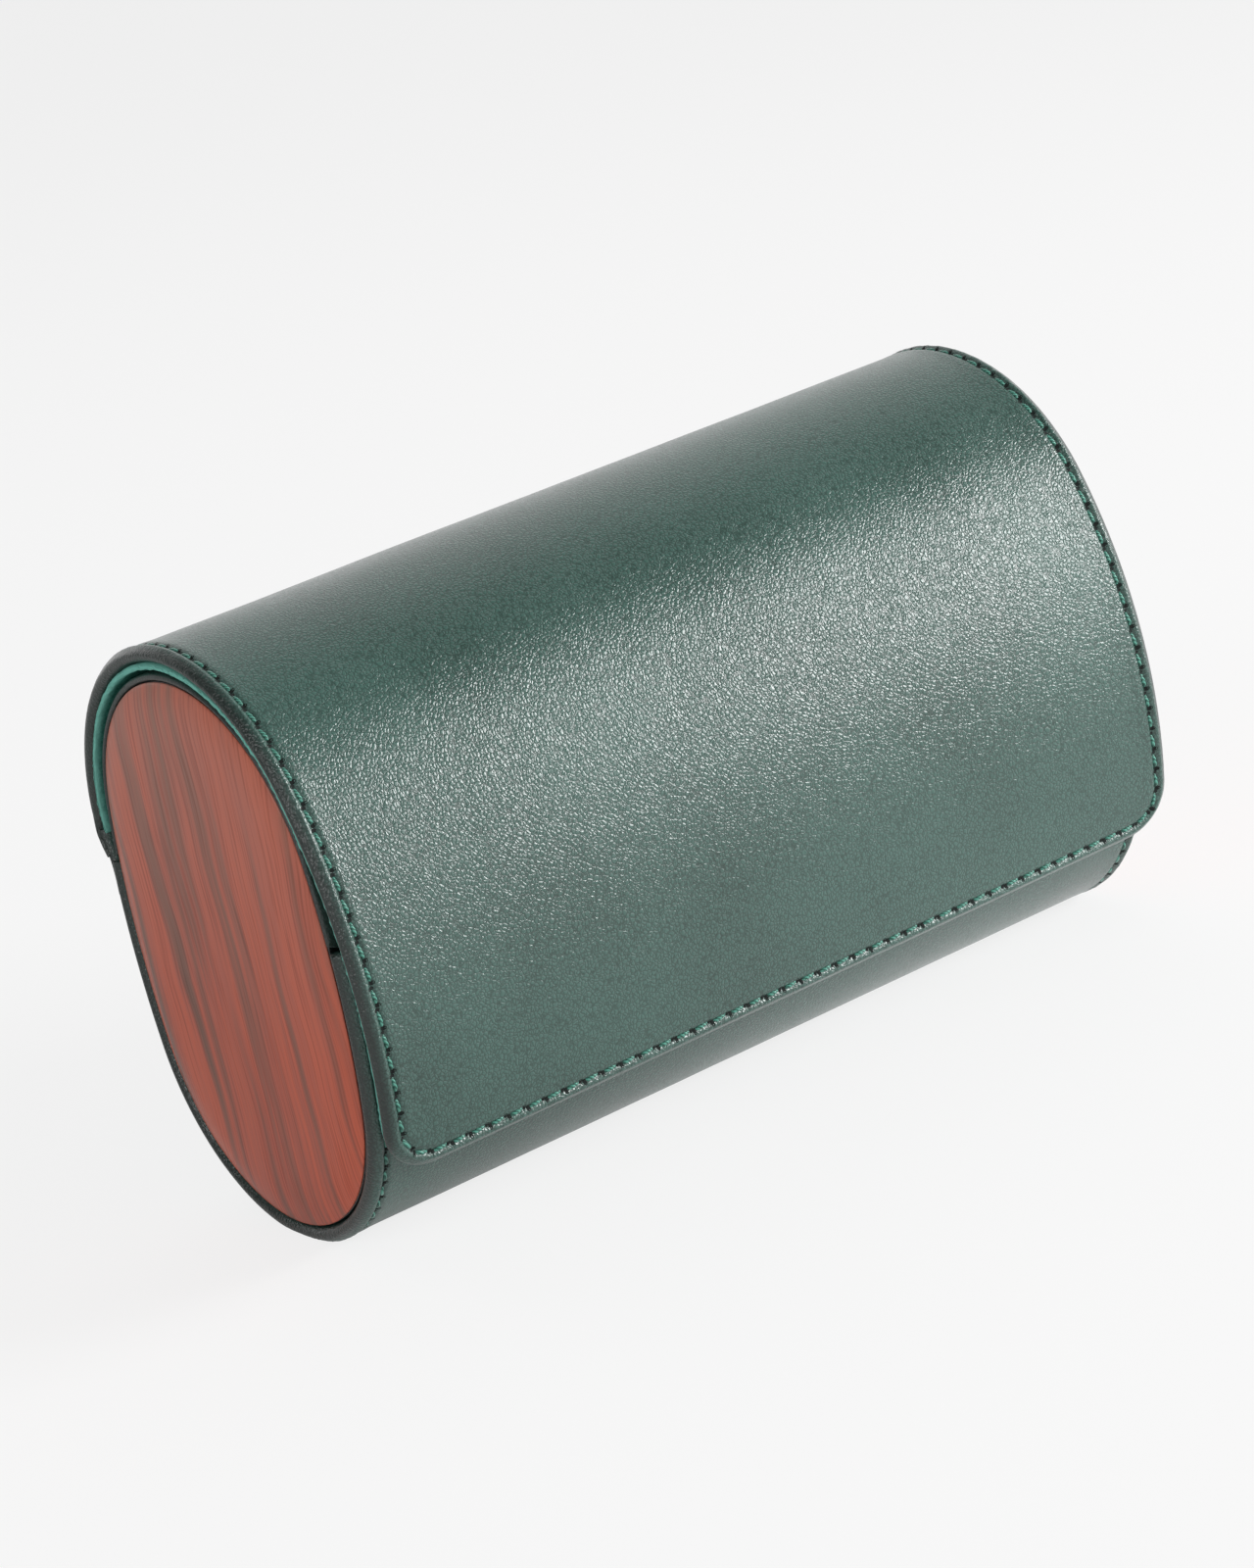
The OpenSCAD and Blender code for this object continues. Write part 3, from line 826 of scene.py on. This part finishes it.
# ---------------------------------------------------------------- lid lining
class Lining(Skin):
    """The suede inside the lid: a soft-edged layer that hangs from its board."""

    def height(self, s, x, top):
        d = self.depth(s, x)
        roll = max(quarter(d, 0.4), quarter(s - self.s0, 2.5))
        ragged = bell(d, 1.2)
        fuzz = ((0.06 + 0.1 * ragged) * wave(x, s, 0.0, 0.9, 9.0)
                + 0.05 * wave(x, s, 0.0, 2.4, 4.0))
        y, z = self.path.at(s)[0]
        body = lid_body(s)
        thick = 0.6 + (0.45 * top_gap(y) if z > 0 else 0.0) - 0.35 * (body - LID_BODY)
        if top:
            return -body - 0.25 * roll + 0.14 * ragged * wave(s, x, 3.0, 1.0, 6.0)
        return -body - thick + 0.25 * roll + fuzz * (1 - roll)

    def vertex(self, s, x, top):
        """Raw suede edges are uneven, and stand back a little at the front."""
        if self.half_l - abs(x) < 0.5:
            x += math.copysign(0.2 * wave(s, x, 0, 0.8, 2.0) + 0.14 * wave(s, x, 0, 2.6, 5.0), x)
        front = max(0.0, -self.path.at(s)[0][0] / HALF_D)
        return super().vertex(s, x - math.copysign(0.4 * front, x), top)


LINING_IN = 0.25    # the suede ends this far inside the lid's edges
lining_skin = Lining(lid_path, board_from - 2.0, lid_path.length - LINING_IN,
                     LID_L / 2 - LINING_IN, None, LID_CORNER - LINING_IN, (0.4, 0), True)
lid_lining = lining_skin.build("lid_suede", SUEDE, 0.5)
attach(lid_lining, "lid")
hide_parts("lid_lining")


# ---------------------------------------------------------------- cushions
CUSHION_X, CUSHION_HALF, CUSHION_MID = 35.0, 29.9, -8.75
CUSHION_A, CUSHION_B = 22.5, 33.25
CUSHION_END = 31.3      # reach of the domed end panels
RING_POINTS = 120
PANEL_RINGS, PANEL_TURN, PANEL_SHARE = 8, 78, 0.93
PIPING_X, PIPING_R = 27.4, 0.75     # the corded seams, from a cushion's middle
PIPING_POINTS, PIPING_SIDES = 120, 8
STATIONS = (-1, -0.985, -0.96, -0.92, -0.86, *(i / 10 for i in range(-8, 9)),
            0.86, 0.92, 0.96, 0.985, 1)
CLOTH_SCALE = 10.0      # the cloth solver works best on things of furniture size
CLOTH_FRAMES, PRESSURE = 20, 4.0
VOXEL, PUFF_MOST = 2.2, 2.5         # net size and the furthest that a point may swell
SLIM = (1.0, 0.965, 0.97)           # a cushion's shares before it swells


def puckers(turn, centre_x):
    """Folds round a cushion's seam."""
    folds = wave(3 * math.cos(turn), 3 * math.sin(turn), centre_x, 0.55, 4.0)
    return 0.3 * (folds + 0.5 * math.sin(23 * turn))


def cushion_ring(x, share, centre_x, pucker=0.0):
    """A slice of a cushion at x from its middle, as a share of its full oval."""
    ring = []
    for i in range(RING_POINTS):
        a = 2 * math.pi * i / RING_POINTS
        y, z = math.cos(a), math.sin(a)
        soft = 0.25 * wave(x, 22 * y, 33 * z, 14.0, 2.0)
        r = share * (1 + (pucker * puckers(a, centre_x) + soft - 0.35) / 28.0)
        ring.append(place(centre_x + x, (CUSHION_A * r * y, CUSHION_MID + CUSHION_B * r * z)))
    return ring


def cushion(name, centre_x):
    """A crowned suede cushion with puckered seams and domed end panels."""
    def panel(end, i):
        v = math.radians(PANEL_TURN * i / PANEL_RINGS)
        share = PANEL_SHARE * (0.35 + 0.65 * math.cos(v)) - 0.012
        return cushion_ring(end * (CUSHION_HALF - 0.6 + 2.0 * math.sin(v)), share, centre_x)

    rings = [panel(-1, i) for i in range(PANEL_RINGS, -1, -1)]
    for u in STATIONS:
        seam = bell((1 - abs(u)) * CUSHION_HALF, 3.5)
        rings.append(cushion_ring(u * (CUSHION_HALF - 0.5), 1 - 0.07 * abs(u) ** 2.5,
                                  centre_x, seam))
    rings += [panel(1, i) for i in range(PANEL_RINGS + 1)]
    return loft(name, rings, SUEDE)


def freeze(piece):
    """Gives the piece the mesh that its modifiers make."""
    graph = bpy.context.evaluated_depsgraph_get()
    mesh = bpy.data.meshes.new_from_object(piece.evaluated_get(graph))
    piece.modifiers.clear()
    piece.data = mesh


def swell(piece):
    """Blows a piece up as cloth, and stops each point where it has gone far enough."""
    piece.data.transform(Matrix.Scale(CLOTH_SCALE, 4))
    net = piece.modifiers.new("net", "REMESH")
    net.mode, net.voxel_size = "VOXEL", VOXEL * MM * CLOTH_SCALE
    freeze(piece)
    start = [vertex.co.copy() for vertex in piece.data.vertices]
    cloth = piece.modifiers.new("cloth", "CLOTH").settings
    cloth.use_pressure = True
    cloth.uniform_pressure_force = PRESSURE
    cloth.effector_weights.gravity = 0.0
    for count in range(1, CLOTH_FRAMES + 1):
        bpy.context.scene.frame_set(count)
    freeze(piece)
    bpy.context.scene.frame_set(1)
    cap = PUFF_MOST * MM * CLOTH_SCALE
    for vertex, before in zip(piece.data.vertices, start):
        move = vertex.co - before
        vertex.co = (before + move * min(1.0, cap / max(move.length, 1e-9))) / CLOTH_SCALE


def puff(piece, centre_x):
    """Swells a slimmer cushion, keeps it in its room and gathers its seams."""
    middle = Matrix.Translation(place(centre_x, (0, CUSHION_MID)))
    piece.data.transform(middle @ Matrix.Diagonal((*SLIM, 1)) @ middle.inverted())
    swell(piece)
    for vertex in piece.data.vertices:
        x, y = vertex.co.x / MM - centre_x, vertex.co.y / MM
        z = vertex.co.z / MM - CORE_Z - CUSHION_MID
        turn = math.atan2(z / CUSHION_B, y / CUSHION_A)
        r = max(math.hypot(y / CUSHION_A, z / CUSHION_B), 1e-9)
        seam = bell(abs(x) - CUSHION_HALF + 1.5, 3.5)
        room = 1.0 - 0.075 * min(1.0, abs(x) / CUSHION_HALF) ** 6
        share = min(r * (1 + seam * puckers(turn, centre_x) / 28), room) / r
        x = max(-CUSHION_END, min(CUSHION_END, x))
        vertex.co = place(centre_x + x, (y * share, CUSHION_MID + z * share))
    fine = piece.modifiers.new("fine", "SUBSURF")
    fine.levels = fine.render_levels = 1
    freeze(piece)
    piece.data.shade_smooth()


def piping(name, pad, centre_x, end):
    """A corded seam that lies on a cushion, round one end."""
    corners = [vertex.co for vertex in pad.data.vertices]
    skin = BVHTree.FromPolygons(corners, [tuple(face.vertices) for face in pad.data.polygons])
    middle = place(centre_x + end * PIPING_X, (0, CUSHION_MID))
    along = Vector((1, 0, 0))
    rings = []
    for i in range(PIPING_POINTS):
        a = 2 * math.pi * i / PIPING_POINTS
        out = Vector((0, CUSHION_A * math.cos(a), CUSHION_B * math.sin(a))).normalized()
        point = skin.ray_cast(middle, out)[0] + out * 0.1 * MM
        rings.append([point + (out * math.cos(b) + along * math.sin(b)) * PIPING_R * MM
                      for b in (2 * math.pi * j / PIPING_SIDES for j in range(PIPING_SIDES))])
    return loft(name, rings, SUEDE, close=False)


for side, word in ((-1, "left"), (1, "right")):
    body = "cushion_" + word
    pad = cushion("cushion_" + word + "_pad", side * CUSHION_X)
    puff(pad, side * CUSHION_X)
    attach(pad, body)
    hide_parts("cushion_cover_" + word, "cushion_core_" + word, "cushion_panels_" + word)
    for end, tag in ((-1, "a"), (1, "b")):
        cord = piping("cushion_" + word + "_piping_" + tag, pad, side * CUSHION_X, end)
        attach(cord, body)


# ---------------------------------------------------------------- stage, light, camera
WHITE = (1, 1, 1, 1)
FLOOR_HALF, FLOOR_GLOW = 6, 0.8     # metres, and how far it glows for the camera


def plain_floor():
    """A pale floor that meets the camera nearly white and keeps the shadow.

    Its reflection is as bright, apart from the part on the left.
    """
    f = FLOOR_HALF
    mesh = bpy.data.meshes.new("floor")
    mesh.from_pydata([(-f, -f, 0), (f, -f, 0), (f, f, 0), (-f, f, 0)], [], [(0, 1, 2, 3)])
    floor = bpy.data.objects.new("floor", mesh)
    bpy.context.scene.collection.objects.link(floor)
    look = Look("pale_floor", Base_Color=(0.86, 0.86, 0.86, 1), Roughness=0.9)
    glow = look.add("ShaderNodeEmission", Color=WHITE)
    rays = look.add("ShaderNodeLightPath").outputs
    side = look.remap(look.axes(look.here)["X"], -0.1, 0.04, 0.0, 1.25)
    seen = look.math("MAXIMUM", rays["Is Camera Ray"],
                     look.math("MULTIPLY", rays["Is Glossy Ray"], side))
    mixer = look.add("ShaderNodeMixShader")
    look.join(look.math("MULTIPLY", seen, FLOOR_GLOW), mixer.inputs[0])
    look.join(look.shader.outputs[0], mixer.inputs[1])
    look.join(glow.outputs[0], mixer.inputs[2])
    look.join(mixer.outputs[0], look.tree.nodes["Material Output"].inputs["Surface"])
    mesh.materials.append(look.mat)


def studio():
    """White for the camera; as a light, bright near the horizon and dim on the left."""
    world = bpy.data.worlds.new("studio")
    bpy.context.scene.world = world
    world.use_nodes = True
    graph = Graph(world.node_tree)
    sky = graph.tree.nodes["Background"]
    sky.inputs["Color"].default_value = WHITE
    rays = graph.add("ShaderNodeLightPath").outputs
    way = graph.axes(graph.add("ShaderNodeTexCoord").outputs["Generated"])
    height = graph.remap(way["Z"], 0.25, 0.62, 1.12, 0.2)
    flank = graph.remap(way["X"], -0.6, 0.0, 0.2, 1.0)
    level = graph.math("MAXIMUM", rays["Is Camera Ray"], graph.math("MULTIPLY", height, flank))
    graph.join(level, sky.inputs["Strength"])


# Softboxes: place and size in metres, power in watts. All face the box's middle.
AIM = Vector((0, 0, 0.045))
LIGHTS = {
    "key": ((0.71, -0.55, 0.325), (0.44, 0.31), 8.5),
    "left_fill": ((-0.9, -0.35, 0.45), (0.6, 0.6), 2.8),
    "right_top": ((0.5, 0.35, 0.55), (0.5, 0.5), 0.25),
    "top": ((0.1, 0.5, 0.8), (0.8, 0.6), 1.0),
}


def softbox(name, at, size, power):
    data = bpy.data.lights.new(name, "AREA")
    data.shape = "RECTANGLE"
    data.size, data.size_y = size
    data.energy = power
    lamp = bpy.data.objects.new(name, data)
    bpy.context.scene.collection.objects.link(lamp)
    lamp.location = at
    lamp.rotation_euler = (AIM - Vector(at)).to_track_quat("-Z", "Y").to_euler()


plain_floor()
studio()
for light_name, light in LIGHTS.items():
    softbox(light_name, *light)

# The camera as fitted to the photo: its focal length in parts of the picture's
# height, its place in mm, and the directions to its right and back.
SENSOR, FOCAL_SHARE = 36.0, 4911.0 / 1600
CLIP = (0.05, 20)       # metres
CAMERA_AT = (-374.5, -597.4, 270.1)
CAMERA_RIGHT, CAMERA_BACK = (0.7939, -0.5727, -0.2041), (-0.5047, -0.8080, 0.3042)

camera_data = bpy.data.cameras.new("camera")
camera_data.sensor_width = SENSOR
camera_data.lens = FOCAL_SHARE * SENSOR
camera_data.clip_start, camera_data.clip_end = CLIP
camera = bpy.data.objects.new("camera", camera_data)
bpy.context.scene.collection.objects.link(camera)
right, back = Vector(CAMERA_RIGHT).normalized(), Vector(CAMERA_BACK).normalized()
up = back.cross(right).normalized()
right = up.cross(back)
turn = Matrix((right, up, back)).transposed().to_4x4()
camera.matrix_world = Matrix.Translation(Vector(CAMERA_AT) * MM) @ turn
bpy.context.scene.camera = camera
bpy.context.scene.view_settings.view_transform = "Standard"
